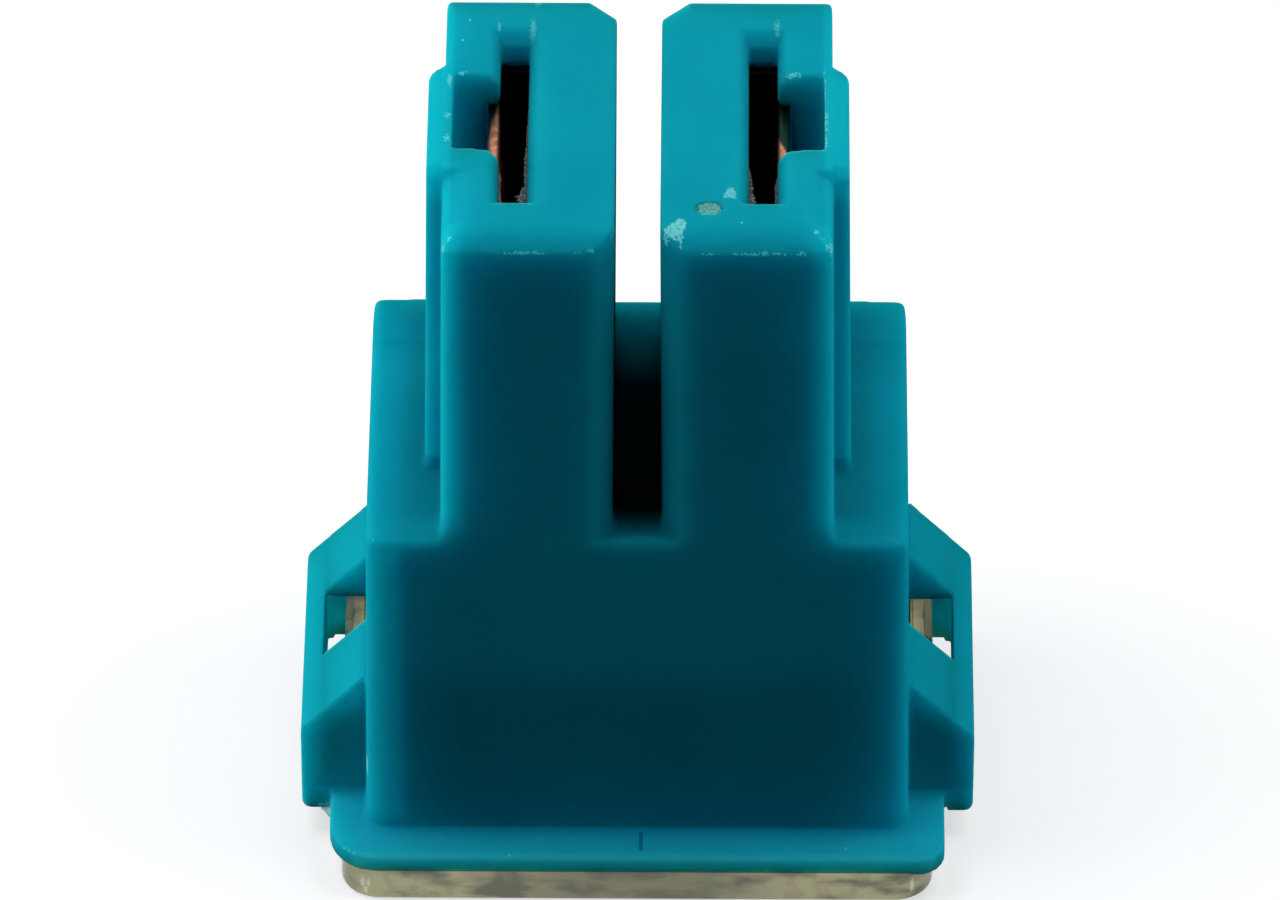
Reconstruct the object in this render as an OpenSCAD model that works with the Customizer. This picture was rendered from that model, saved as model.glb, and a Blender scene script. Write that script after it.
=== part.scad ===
// Automotive cartridge fuse with female terminals, standing on its clear cover.
// Millimetres. X runs across the two legs, -Y is the front and +Z runs up the legs.
// The origin is the middle of the cover's flat underside.

/* [Body] */
// Width of the body across its base
body_w = 17.95; // [17:0.05:19]
// Depth of the body at its base, front to back
body_d = 12.65; // [12.2:0.05:13.6]
// Height of the body from the flange up to the shoulder
body_h = 12.4; // [11:0.1:15]
// Thickness of the body's upright walls
body_wall = 1.3; // [1:0.05:1.5]
// Thickness of the shoulder, which roofs the body
roof_t = 1.25; // [0.9:0.05:1.8]
// Radius of the body's upright corners
body_corner_r = 0.65; // [0.3:0.05:1]
// Radius of the edge round the shoulder
shoulder_r = 0.2; // [0.1:0.05:0.6]
// Draft of the body's side faces in degrees
side_draft = 0.65; // [0.2:0.05:1]
// Draft of the front and back faces in degrees
front_draft = 0.45; // [0.2:0.05:0.8]

/* [Flange] */
// How far the flange stands out at each side of the body
flange_side = 1.2; // [0.9:0.01:1.4]
// How far the flange stands out at the front and at the back
flange_front = 1.43; // [1:0.01:1.8]
// Thickness of the flange
flange_t = 0.7; // [0.5:0.05:1]
// Radius of three of the flange's corners
flange_corner_r = 0.95; // [0.6:0.05:1.3]
// Radius of the left front corner, which is rounder and marks one side
flange_key_r = 1.75; // [1.3:0.05:2]
// Width of the mould-parting tick on the flange
tick_w = 0.12; // [0.08:0.01:0.2]
// Distance of the tick to the right of the middle
tick_x = 0.13; // [0:0.01:0.3]
// Length of the tick
tick_l = 0.7; // [0.4:0.05:1]
// Depth of the tick
tick_h = 0.08; // [0.05:0.01:0.15]

/* [Legs] */
// Width of a leg at the shoulder
leg_w = 5.6; // [5.4:0.05:6]
// Gap between the two legs at the shoulder
leg_gap = 1.6; // [1.4:0.05:1.8]
// Gap between the two legs at their tips
leg_gap_tip = 1.46; // [1.3:0.02:1.8]
// Height of the legs above the shoulder
leg_h = 12.65; // [11:0.05:15]
// Draft of a leg's outer face in degrees
leg_draft = 0.6; // [0.2:0.05:1]
// How far the lead-in bevel at the tip runs back over the end face
tip_bevel = 0.98; // [0.6:0.02:1.2]
// How far the lead-in bevel drops down the front face
tip_drop = 0.55; // [0.3:0.05:0.9]
// Chamfer of a leg's upright inner corner at the front
leg_chamfer = 0.8; // [0.4:0.05:1.1]
// Chamfer of a leg's upright inner corner at the back
leg_back_chamfer = 1; // [0.4:0.05:1.2]
// Radius of a leg's upright outer corner at the back
leg_r = 0.35; // [0.15:0.05:0.6]
// Thickness of the end wall that the slot goes through
end_wall = 1.35; // [1:0.05:1.8]

/* [Ribs] */
// How far the outer rib stands out from a leg at the shoulder
rib_out = 0.57; // [0.4:0.01:0.8]
// Draft of the rib's outer face in degrees
rib_draft = 0.77; // [0.4:0.01:1]
// Place of the rib's front face, forward of the middle
rib_fore = 2.5; // [2.2:0.05:3]
// Place of the rib's back face, behind the middle
rib_aft = 2.75; // [2.6:0.05:3.2]
// Fall of the rib's sloping end
rib_fall = 0.2; // [0.1:0.02:0.35]
// Bevel at the front of the rib's end
rib_bevel = 0.45; // [0.3:0.05:0.7]
// Radius of the rib's back corner
rib_r = 0.45; // [0.2:0.05:0.5]

/* [Slots] */
// Distance between the middles of the two blade slots
blade_pitch = 8.05; // [7.9:0.05:8.2]
// Width of a blade slot
slot_w = 0.94; // [0.85:0.01:1.05]
// Length of a blade slot
slot_len = 8.6; // [8.2:0.05:8.8]
// How far the slots lie behind the middle
slot_aft = 0.1; // [0:0.05:0.4]
// Width of the lead-in round a slot
slot_lead = 0.44; // [0.2:0.02:0.5]
// Depth of the lead-in
slot_lead_h = 0.5; // [0.2:0.05:0.7]
// Distance from a slot's middle to the outer side of its notch
notch_reach = 1.98; // [1.8:0.02:2.05]
// Place of the notch's front side, forward of the middle
notch_fore = 1.45; // [1:0.05:1.8]
// Place of the notch's back side, behind the middle
notch_aft = 2.35; // [1.8:0.05:2.4]
// Depth of the notch from the leg's end
notch_h = 8; // [6:0.5:10]
// Width of the terminal cavity in a leg
cavity_w = 1.9; // [1.8:0.05:2]
// Length of the terminal cavity
cavity_len = 9.4; // [9.3:0.05:9.8]

/* [Side loops] */
// How far a loop reaches out from the body
loop_reach = 2.17; // [2:0.01:2.5]
// Set-back of the loops from the body's front face
loop_setback = 1.95; // [1.6:0.05:2.2]
// Depth of a loop, front to back
loop_d = 9.05; // [8.8:0.05:9.3]
// Height of a loop's sloping top above the flange, at the body
loop_h = 4.8; // [4.4:0.1:6]
// Slope of the loop's top in degrees
loop_slope = 43.5; // [38:0.5:48]
// Thickness of a loop's outer wall
loop_wall = 0.65; // [0.5:0.05:0.8]
// Thickness of its front and back walls
loop_end_wall = 0.5; // [0.4:0.05:0.7]
// Radius of a loop's outer edges
loop_r = 0.45; // [0.2:0.05:0.6]
// Distance from a loop's front to its window
window_setback = 3.1; // [2.6:0.05:3.2]
// Size of the window, front to back
window_d = 3.2; // [2.8:0.05:3.5]
// Height of the pocket inside the loop, from the flange's underside
pocket_h = 3.65; // [3.3:0.05:3.8]

/* [Cover] */
// Set-back of the cover from the flange at each side
cover_side = 0.38; // [0.3:0.02:0.5]
// Set-back of the cover from the flange at front and back
cover_front = 0.1; // [0.05:0.05:0.4]
// Height of the cover's rim below the flange
cover_h = 1.25; // [1:0.05:1.6]
// Thickness of the cover's window
cover_window_t = 0.85; // [0.6:0.05:0.95]
// Radius of the cover's corners
cover_corner_r = 1.3; // [0.8:0.05:1.6]
// Chamfer round the cover's underside
cover_chamfer = 0.06; // [0.03:0.01:0.15]
// Height of the plug wall that centres the cover in the body
plug_h = 1.1; // [0.8:0.05:1.5]
// Thickness of the plug wall
plug_wall = 0.7; // [0.5:0.05:1]
// Running gap between the housing and what fits into it
fit_gap = 0.08; // [0.05:0.01:0.12]

/* [Latches] */
// Thickness of a latch leg
latch_t = 0.75; // [0.5:0.05:0.8]
// Width of a latch leg
latch_w = 6; // [5.5:0.1:7]
// Height of a latch leg above the rim
latch_h = 3.4; // [3.1:0.05:3.5]
// Lead-in chamfer at the end of a latch leg
latch_lead = 0.3; // [0.15:0.05:0.4]
// Width of the catch on the body's side
catch_w = 1.8; // [1.4:0.1:2.4]
// How far the catch stands out
catch_out = 0.5; // [0.3:0.05:0.6]
// Height of the catch's flat top above the rim
catch_top = 2; // [1.8:0.05:2.2]
// Height of the catch, ramp included
catch_h = 0.8; // [0.6:0.05:1]
// Height of the catch's upright front, above its ramp
catch_land = 0.2; // [0.1:0.05:0.3]

/* [Fuse element] */
// Thickness of the copper-alloy strip
strip_t = 0.4; // [0.3:0.05:0.45]
// Depth of the terminal's mouth below the end wall
mouth_gap = 0.15; // [0.1:0.05:0.3]
// Height of a terminal
socket_h = 8.2; // [7:0.1:9]
// Gap between the contact springs where they grip the blade
contact_gap = 0.6; // [0.4:0.05:0.7]
// Width of a contact spring
spring_w = 2.4; // [2:0.1:2.8]
// Thickness of a contact spring
spring_t = 0.22; // [0.15:0.01:0.25]
// Distance from a terminal's middle to the middle of each spring, front and back
spring_reach = 2.3; // [2:0.1:2.6]
// Width of the tab below a terminal
tab_w = 4.4; // [3.6:0.1:5]
// Height of the link above the cover's rim
link_z = 4.2; // [3:0.1:6]
// Width of the fusible link
link_w = 1.5; // [1:0.1:2]
// Inner radius of the bend between tab and link
bend_r = 0.6; // [0.4:0.05:0.8]
// Half length of the raised middle of the link
hump_half = 1.5; // [1.3:0.1:2]
// Rise of the raised middle
hump_rise = 1.2; // [0.8:0.1:1.8]
// Height over which a tab narrows down to the link
taper_h = 3; // [2:0.1:4]

/* [Tin slug] */
// Length of the tin slug along the link
slug_l = 1.9; // [1.5:0.1:2.2]
// Width of the slug
slug_w = 2.6; // [2.2:0.1:3.2]
// Height of the slug
slug_h = 1.3; // [1:0.1:1.5]
// Radius of the slug's edges
slug_r = 0.43; // [0.2:0.01:0.48]
// Gap between slug and strip
slug_gap = 0.02; // [0.01:0.01:0.05]

/* [Hidden] */
$fn = 48;
// Facets of the large circles that the springs are bowed to
SPRING_FN = 192;
ARC_STEPS = 5;
SIDES = [-1, 1];
// Overrun of a cutting solid past the face that it cuts
CUT = 1;
// Plain strip left above and below the springs
spring_margin = 0.4;
// Places of the contact springs, front and back
SPRING_PLACES = [-1, 1];
// How far joined solids reach into each other
JOIN = 0.2;

flange_z = cover_h;
flange_top = flange_z + flange_t;
shoulder_z = flange_top + body_h;
tip_z = shoulder_z + leg_h;
flange_w = body_w + 2 * flange_side;
flange_d = body_d + 2 * flange_front;
cover_w = flange_w - 2 * cover_side;
cover_d = flange_d - 2 * cover_front;
inner_w = body_w - 2 * body_wall;
inner_d = body_d - 2 * body_wall;
inner_r = body_corner_r / 2;
span = 2 * flange_w;
slot_x = blade_pitch / 2;
cavity_top = tip_z - end_wall;
cavity_bottom = shoulder_z - roof_t;
loop_front = -body_d / 2 + loop_setback;
loop_x = body_w / 2 + loop_reach;
loop_in = loop_x - loop_wall;
loop_mid = loop_front + window_setback + window_d / 2;
window_front = loop_front + window_setback;
pocket_top = flange_z + pocket_h;
latch_x = body_w / 2 + fit_gap;
socket_top = cavity_top - mouth_gap;
socket_z = socket_top - socket_h;
socket_w = cavity_w - 2 * fit_gap;
socket_len = cavity_len - 2 * fit_gap;
tab_x = slot_x + socket_w / 2;
link_bottom = flange_z + link_z;
// Middle of the slug, and where the tabs start to widen above it
slug_z = link_bottom + hump_rise + strip_t / 2;
taper_z = slug_z + slug_h / 2 + slug_gap;

// Half width and half depth of the drafted body at height z
function side_x(z) = body_w / 2 - tan(side_draft) * (z - flange_top);
function front_y(z) = body_d / 2 - tan(front_draft) * (z - flange_top);

// Inner and outer face of a leg, and outer face of its rib, at height z
function leg_in(z) =
    (leg_gap + (leg_gap_tip - leg_gap) * (z - shoulder_z) / leg_h) / 2;
function leg_out(z) =
    leg_gap / 2 + leg_w - tan(leg_draft) * (z - shoulder_z);
function rib_x(z) =
    leg_gap / 2 + leg_w + rib_out - tan(rib_draft) * (z - shoulder_z);

// Height of a loop's sloping top at distance x from the middle
function ramp_z(x) = flange_top + loop_h - tan(loop_slope) * (x - body_w / 2);

// Points of an arc about [cx, cy] from angle a0 to a1
function arc(cx, cy, r, a0, a1) =
    [for (i = [0:ARC_STEPS])
        let (a = a0 + (a1 - a0) * i / ARC_STEPS) [cx + r * cos(a), cy + r * sin(a)]];

// Points of a rolled-over edge that starts level at [0, 0] and reaches [run, -drop],
// falling faster and faster
function roll(run, drop) =
    [for (i = [0:ARC_STEPS]) let (t = i / ARC_STEPS) [run * t, -drop * t * t]];

// An outline of X and Z drawn out along Y
module front_view(depth) {
    rotate([90, 0, 0]) linear_extrude(depth, center = true) children();
}

// An outline of Y and Z drawn out along X
module side_view(width) {
    rotate([90, 0, 90]) linear_extrude(width, center = true) children();
}

// A box given by its lowest and its highest corner
module block(low, high) {
    translate(low) cube(high - low);
}

// The same piece on the right, or mirrored on the left
module on_side(side) {
    if (side < 0) mirror([1, 0, 0]) children();
    else children();
}

// The same radius for all four corners
function even(r) = [r, r, r, r];

// A rectangle about the origin with radii in the order front left, front right,
// back right, back left
module round_rect(w, d, radii) {
    corners = [[-1, -1], [1, -1], [1, 1], [-1, 1]];
    difference() {
        square([w, d], center = true);
        for (i = [0:3])
            translate([corners[i].x * w / 2, corners[i].y * d / 2])
                square(2 * radii[i], center = true);
    }
    for (i = [0:3])
        translate([corners[i].x * (w / 2 - radii[i]), corners[i].y * (d / 2 - radii[i])])
            circle(radii[i]);
}

// The body's solid: three drafted views crossed with each other
module body_block() {
    z = shoulder_z - shoulder_r;
    x = side_x(z) - shoulder_r;
    y = front_y(z) - shoulder_r;
    intersection() {
        front_view(span) polygon(concat(
            [[-side_x(flange_z), flange_z], [side_x(flange_z), flange_z]],
            arc(x, z, shoulder_r, 0, 90), arc(-x, z, shoulder_r, 90, 180)));
        side_view(span) polygon(concat(
            [[-front_y(flange_z), flange_z], [front_y(flange_z), flange_z]],
            arc(y, z, shoulder_r, 0, 90), arc(-y, z, shoulder_r, 90, 180)));
        linear_extrude(tip_z)
            round_rect(2 * side_x(flange_z), 2 * front_y(flange_z), even(body_corner_r));
    }
}

// One leg's solid, on the right
module leg_block() {
    root = shoulder_z - roof_t;
    in_x = leg_in(tip_z);
    out_x = leg_out(root);
    y = front_y(root);
    tip_y = front_y(tip_z);
    intersection() {
        front_view(span) polygon([
            [leg_in(root), root], [out_x, root], [leg_out(tip_z), tip_z], [in_x, tip_z]]);
        side_view(span) polygon(concat(
            [[-y, root], [y, root], [tip_y, tip_z]],
            [for (p = roll(tip_bevel, tip_drop)) [tip_bevel - tip_y - p.x, tip_z + p.y]]));
        linear_extrude(tip_z + CUT) polygon(concat(
            [[in_x + leg_chamfer, -y], [out_x, -y]],
            arc(leg_out(tip_z) - leg_r, y - leg_r, leg_r, 0, 90),
            [[in_x + leg_back_chamfer, y], [in_x, y - leg_back_chamfer],
                [in_x, leg_chamfer - y]]));
    }
}

// The bevel cut off a leg's outer edge, ahead of the rib
module side_bevel_cut() {
    x = leg_out(tip_z);
    translate([0, -rib_fore - span / 2, 0]) front_view(span) polygon(concat(
        [for (p = roll(tip_bevel, tip_drop)) [x - tip_bevel + p.x, tip_z + p.y]],
        [[x + CUT, tip_z - tip_drop], [x + CUT, tip_z + CUT],
            [x - tip_bevel, tip_z + CUT]]));
}

// The rib down a leg's outer side, with a sloping end
module rib() {
    root = shoulder_z - roof_t;
    x = leg_out(tip_z) - JOIN;
    intersection() {
        front_view(span) polygon([
            [x, root], [rib_x(root), root], [rib_x(tip_z), tip_z - rib_fall],
            [leg_out(tip_z), tip_z], [x, tip_z]]);
        side_view(span) polygon([
            [-rib_fore, root], [rib_aft, root], [rib_aft, tip_z],
            [rib_bevel - rib_fore, tip_z], [-rib_fore, tip_z - rib_bevel]]);
        linear_extrude(tip_z + CUT) polygon(concat(
            [[x, -rib_fore], [rib_x(root), -rib_fore]],
            arc(rib_x(tip_z) - rib_r, rib_aft - rib_r, rib_r, 0, 90), [[x, rib_aft]]));
    }
}

// The funnel round a slot's mouth: rolled over at its sides and sloping at the back
module slot_lead_cut() {
    x = slot_w / 2 + slot_lead;
    y = slot_len / 2;
    z = tip_z - slot_lead_h;
    grow = slot_lead / slot_lead_h * (slot_lead_h + CUT);
    intersection() {
        front_view(span) for (side = SIDES) on_side(side) polygon(concat(
            [[-JOIN, z]],
            [for (i = [ARC_STEPS:-1:0]) let (p = roll(slot_lead, slot_lead_h)[i])
                [x - p.x, tip_z + p.y]],
            [[x, tip_z + CUT], [-JOIN, tip_z + CUT]]));
        side_view(span) polygon([
            [-y, z], [y, z], [y + grow, tip_z + CUT], [-y, tip_z + CUT]]);
    }
}

// What is cut out of one leg: the blade slot, its funnel, the notch beside it and the
// cavity that takes the terminal
module leg_cuts() {
    in_x = slot_x - slot_w / 2;
    out_x = slot_x + notch_reach;
    translate([slot_x, slot_aft, 0]) {
        block([-slot_w / 2, -slot_len / 2, cavity_top - CUT],
            [slot_w / 2, slot_len / 2, tip_z + CUT]);
        slot_lead_cut();
        block([-cavity_w / 2, -cavity_len / 2, cavity_bottom - CUT],
            [cavity_w / 2, cavity_len / 2, cavity_top]);
    }
    block([in_x, -notch_fore, tip_z - notch_h], [out_x, notch_aft, tip_z + CUT]);
}

// One side loop, a shell with a sloping top, on the right
module side_loop() {
    x = side_x(flange_z) - JOIN;
    z = ramp_z(loop_x) - loop_r;
    translate([0, loop_front + loop_d / 2, 0]) front_view(loop_d) polygon(concat(
        [[x, flange_z], [loop_x, flange_z]],
        arc(loop_x - loop_r, z, loop_r, 0, 90 - loop_slope),
        [[x, ramp_z(x)]]));
}

// The pocket for a latch leg and the window that shows it, on the right
module side_loop_cuts() {
    // The body's face stays whole behind the pocket
    difference() {
        union() {
            block([inner_w / 2, loop_front + loop_end_wall, flange_z - CUT],
                [loop_in, loop_front + loop_d - loop_end_wall, pocket_top]);
            block([inner_w / 2, window_front, pocket_top - CUT],
                [loop_in, window_front + window_d, flange_top + loop_h + CUT]);
        }
        body_block();
    }
}

// The wedge on the body's side that a latch leg snaps over, on the right
module catch_wedge() {
    top = flange_z + catch_top;
    x = body_w / 2;
    translate([0, loop_mid, 0]) front_view(catch_w) polygon([
        [x - JOIN, top - catch_h], [side_x(top - catch_h), top - catch_h],
        [x + catch_out, top - catch_land], [x + catch_out, top], [x - JOIN, top]]);
}

// One moulding: flange, body, two hollow legs with ribs, and the side loops
module housing() {
    color("darkcyan") difference() {
        union() {
            difference() {
                union() {
                    translate([0, 0, flange_z]) linear_extrude(flange_t)
                        round_rect(flange_w, flange_d, [flange_key_r, flange_corner_r,
                            flange_corner_r, flange_corner_r]);
                    for (side = SIDES) on_side(side) side_loop();
                }
                for (side = SIDES) on_side(side) side_loop_cuts();
            }
            body_block();
            for (side = SIDES) on_side(side) {
                catch_wedge();
                difference() {
                    union() {
                        difference() {
                            leg_block();
                            side_bevel_cut();
                        }
                        rib();
                    }
                    leg_cuts();
                }
            }
        }
        // The room for the fuse element, open towards the cover
        translate([0, 0, flange_z - CUT]) linear_extrude(cavity_bottom - flange_z + CUT)
            round_rect(inner_w, inner_d, even(inner_r));
        for (side = SIDES) on_side(side) translate([slot_x, slot_aft, 0])
            block([-cavity_w / 2, -cavity_len / 2, cavity_bottom - CUT],
                [cavity_w / 2, cavity_len / 2, shoulder_z + CUT]);
        // The tick that marks the mould's parting line
        translate([tick_x, -body_d / 2 - tick_l, flange_top - tick_h])
            block([-tick_w / 2, 0, 0], [tick_w / 2, tick_l / 2, CUT]);
    }
}

// One latch leg, on the right
module latch_leg() {
    top = flange_z + latch_h;
    low = flange_z + catch_top - catch_h - fit_gap;
    high = flange_z + catch_top + fit_gap;
    out_x = latch_x + latch_t;
    difference() {
        translate([0, loop_mid, 0]) front_view(latch_w) polygon([
            [latch_x, flange_z - JOIN], [out_x, flange_z - JOIN],
            [out_x, top - latch_lead], [out_x - latch_lead, top], [latch_x, top]]);
        block([latch_x - CUT, loop_mid - catch_w / 2 - fit_gap, low],
            [out_x + CUT, loop_mid + catch_w / 2 + fit_gap, high]);
    }
}

// The clear cover: a plate, a plug wall that centres it, and two latch legs
module clear_cover() {
    plug_x = inner_w / 2 - fit_gap;
    plug_y = inner_d / 2 - fit_gap;
    color("darkkhaki", 0.6) {
        difference() {
            union() {
                translate([0, 0, cover_chamfer]) linear_extrude(cover_h - cover_chamfer)
                    round_rect(cover_w, cover_d, even(cover_corner_r));
                foot();
                linear_extrude(flange_z + plug_h)
                    round_rect(2 * plug_x, 2 * plug_y, even(inner_r));
            }
            translate([0, 0, cover_window_t]) linear_extrude(flange_z + plug_h)
                round_rect(2 * (plug_x - plug_wall), 2 * (plug_y - plug_wall), even(inner_r));
        }
        for (side = SIDES) on_side(side) latch_leg();
    }
}

// The chamfered foot of the cover's plate
module foot() {
    hull() {
        linear_extrude(cover_chamfer / 2) round_rect(cover_w - 2 * cover_chamfer,
            cover_d - 2 * cover_chamfer, even(cover_corner_r - cover_chamfer));
        translate([0, 0, cover_chamfer]) linear_extrude(cover_chamfer)
            round_rect(cover_w, cover_d, even(cover_corner_r));
    }
}

// One terminal, on the right: a flattened tube with bowed contact springs inside
module socket() {
    hole = socket_w - 2 * strip_t;
    bow = socket_w / 2 - contact_gap / 2 - spring_t;
    chord = socket_h - 2 * strip_t - 2 * spring_margin;
    bow_r = (chord * chord / 4 + bow * bow) / (2 * bow);
    translate([slot_x, slot_aft, socket_z]) {
        difference() {
            linear_extrude(socket_h) difference() {
                round_rect(socket_w, socket_len, even(strip_t));
                round_rect(hole, socket_len - 2 * strip_t, even(spring_t));
            }
            for (y = SPRING_PLACES)
                translate([0, y * spring_reach, socket_h / 2])
                    cube([socket_w + CUT, spring_w + spring_t, chord], center = true);
        }
        for (side = SIDES, y = SPRING_PLACES)
            translate([0, y * spring_reach, socket_h / 2]) on_side(side)
                front_view(spring_w) intersection() {
                    translate([contact_gap / 2 + bow_r, 0]) difference() {
                        circle(bow_r, $fn = SPRING_FN);
                        circle(bow_r - spring_t, $fn = SPRING_FN);
                    }
                    translate([0, -chord / 2 - spring_t])
                        square([socket_w / 2, chord + 2 * spring_t]);
                }
    }
}

// Height of the link's underside at distance x from the middle
function link_line(x) = link_bottom
    + max(0, min(hump_rise, hump_half + hump_rise - abs(x)));

// The tabs and the link between them, drawn as one bent strip
module link_strip() {
    tab_in = tab_x - strip_t;
    bend_x = tab_in - bend_r;
    bend_z = link_bottom + strip_t + bend_r;
    stops = [-bend_x, -hump_half - hump_rise, -hump_half,
        hump_half, hump_half + hump_rise, bend_x];
    last = len(stops) - 1;
    intersection() {
        front_view(tab_w) {
            polygon(concat(
                [for (x = stops) [x, link_line(x)]],
                [for (i = [0:last]) [stops[last - i], link_line(stops[last - i]) + strip_t]]));
            for (side = SIDES) on_side(side) {
                translate([tab_in, bend_z]) square([strip_t, socket_z + JOIN - bend_z]);
                intersection() {
                    translate([bend_x, bend_z]) difference() {
                        circle(bend_r + strip_t);
                        circle(bend_r);
                    }
                    translate([bend_x, link_bottom]) square(bend_r + strip_t);
                }
            }
        }
        side_view(span) polygon([
            [-link_w / 2, link_bottom - CUT], [link_w / 2, link_bottom - CUT],
            [link_w / 2, taper_z], [tab_w / 2, taper_z + taper_h], [tab_w / 2, tip_z],
            [-tab_w / 2, tip_z], [-tab_w / 2, taper_z + taper_h], [-link_w / 2, taper_z]]);
    }
}

// One stamping: two terminals, their tabs and the fusible link between them
module fuse_element() {
    color("peru") {
        translate([0, slot_aft, 0]) link_strip();
        for (side = SIDES) on_side(side) socket();
    }
}

// The tin slug, a rounded bead cast round the raised middle of the link
module tin_slug() {
    y = link_w / 2 + slug_gap;
    z = strip_t / 2 + slug_gap;
    color("silver") translate([0, slot_aft, slug_z]) difference() {
        intersection() {
            front_view(slug_w) round_rect(slug_l, slug_h, even(slug_r));
            side_view(slug_l) round_rect(slug_w, slug_h, even(slug_r));
        }
        block([-slug_l, -y, -z], [slug_l, y, z]);
    }
}

housing();
clear_cover();
fuse_element();
tin_slug();
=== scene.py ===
import math

import bmesh
import bpy
import numpy
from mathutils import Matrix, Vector


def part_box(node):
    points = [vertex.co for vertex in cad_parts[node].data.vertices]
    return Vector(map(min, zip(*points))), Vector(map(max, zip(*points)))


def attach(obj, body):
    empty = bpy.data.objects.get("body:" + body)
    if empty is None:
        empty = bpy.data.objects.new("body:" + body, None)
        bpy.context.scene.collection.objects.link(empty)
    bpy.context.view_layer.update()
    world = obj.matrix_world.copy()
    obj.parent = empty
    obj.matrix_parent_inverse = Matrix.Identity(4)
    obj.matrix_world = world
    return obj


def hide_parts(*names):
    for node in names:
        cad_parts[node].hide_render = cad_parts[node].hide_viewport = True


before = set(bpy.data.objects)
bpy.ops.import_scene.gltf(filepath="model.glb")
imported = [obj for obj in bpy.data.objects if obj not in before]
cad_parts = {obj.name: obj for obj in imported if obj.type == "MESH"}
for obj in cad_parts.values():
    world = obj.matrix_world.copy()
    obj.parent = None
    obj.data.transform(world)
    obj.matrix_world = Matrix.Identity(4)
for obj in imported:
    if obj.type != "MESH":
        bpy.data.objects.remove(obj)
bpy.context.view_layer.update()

MM = 0.001

# The camera: far off, 40 degrees up and a little to the right of the middle
CAMERA_AZIMUTH = math.radians(0.435)
CAMERA_ELEVATION = math.radians(40.3)
CAMERA_DISTANCE = 431 * MM
CAMERA_TARGET = Vector((0.05 * MM, 0, 13.05 * MM))
CAMERA_LENS = 368.5
CAMERA_CLIP = 10 * MM
SENSOR_WIDTH = 36

# The pieces' meshes: how fine they are, and how far their edges are softened
WELD = 0.001 * MM
VOXEL = 0.07 * MM
SOFTEN_STEPS = 6
MELT_STEPS = 24
ROUND_STEPS = 16
EDGE_STEPS = 180
TRIANGLES = {"housing": 160000, "clear_cover": 60000, "fuse_element": 60000,
             "tin_slug": 6000}

# The housing's tips, and its slots: their middle, their half sizes, and the strip round
# them that their funnels fill
TIP_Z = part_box("housing")[1][2]
SLOT_X = 4.025 * MM
SLOT_Y = 0.1 * MM
SLOT_HALF_W = 0.47 * MM
SLOT_HALF_L = 4.3 * MM
FUNNEL_START = 0.1 * MM
FUNNEL_REACH = 0.75 * MM
# The bevels' top edge, and how far to both sides of it and below the tips it is softened
BEVEL_Y = -5.15 * MM
BEVEL_HALF = 0.45 * MM
LEAD_IN_DEPTH = 0.45 * MM
# The outer edges are rounded from this far below the tips, and inwards of the loops
TIP_DEPTH = 0.7 * MM
LOOP_X = 9.05 * MM
# How far from a face the corners that a mark on it moves may lie
FACE_DEPTH = 0.2 * MM
# The sunk gate mark: its middle and half sizes, and its depth, least at the back
GATE = Vector((2.3, -4.46, 27)) * MM
GATE_R = Vector((0.42, 0.33, 0.42)) * MM
GATE_DEPTH = 0.07 * MM
GATE_LEAST = 0.4
# The index line on the flange: its back end, half width, length and depth
TICK = Vector((0.13, -6.5, 1.95)) * MM
TICK_HALF_W = 0.1 * MM
TICK_L = 0.85 * MM
TICK_DEPTH = 0.06 * MM

# Where the loops' feet begin, how far they hang, and the round at their outer corner
FOOT_X = 10.3 * MM
FOOT_Z = 1.5 * MM
FOOT_DROP = 0.16 * MM
FOOT_R = 0.4 * MM

# The line of the loops' sloping tops, z + SLOPE * x = RIDGE, in millimetres
SLOPE = math.tan(math.radians(43.5))
RIDGE = 15.45
# How far those tops and the shoulder's back edge are brought back up, and where such a
# lift begins and how soon it is full, in millimetres
LOOP_LIFT = 0.13 * MM
RIGHT_LIFT = 0.26 * MM
SHOULDER_LIFT = 0.08 * MM
RIDGE_FADE = (-1, 0.8)
ROOT_FADE = (8.95, 0.1)
BACK_FADE = (0, 3)
SHOULDER_Z_FADE = (13.7, 0.5)
SHOULDER_X_FADE = (6.7, 0.3)
SHOULDER_TOP = 15
SHOULDER_BACK = 4

# Upright edges that are rounded further: x at the foot, draft in degrees, how far to the
# front and back their strips begin, and between which heights they run, in millimetres.
# The legs' back edges aren't among them, so their strips would begin behind the part
EDGE_REACH = 1.3 * MM
EDGE_FADE = 1.2
UPRIGHT = [
    {"x": 8.975, "draft": 0.65, "front": 4.9, "back": 5.2, "z": (2.1, 14.5)},
    {"x": 6.4, "draft": 0.6, "front": 4.9, "back": 9.0, "z": (14.3, 26.6)},
    {"x": 0.8, "draft": 0.4, "front": 5.2, "back": 9.0, "z": (14.3, 26.6)},
]

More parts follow.
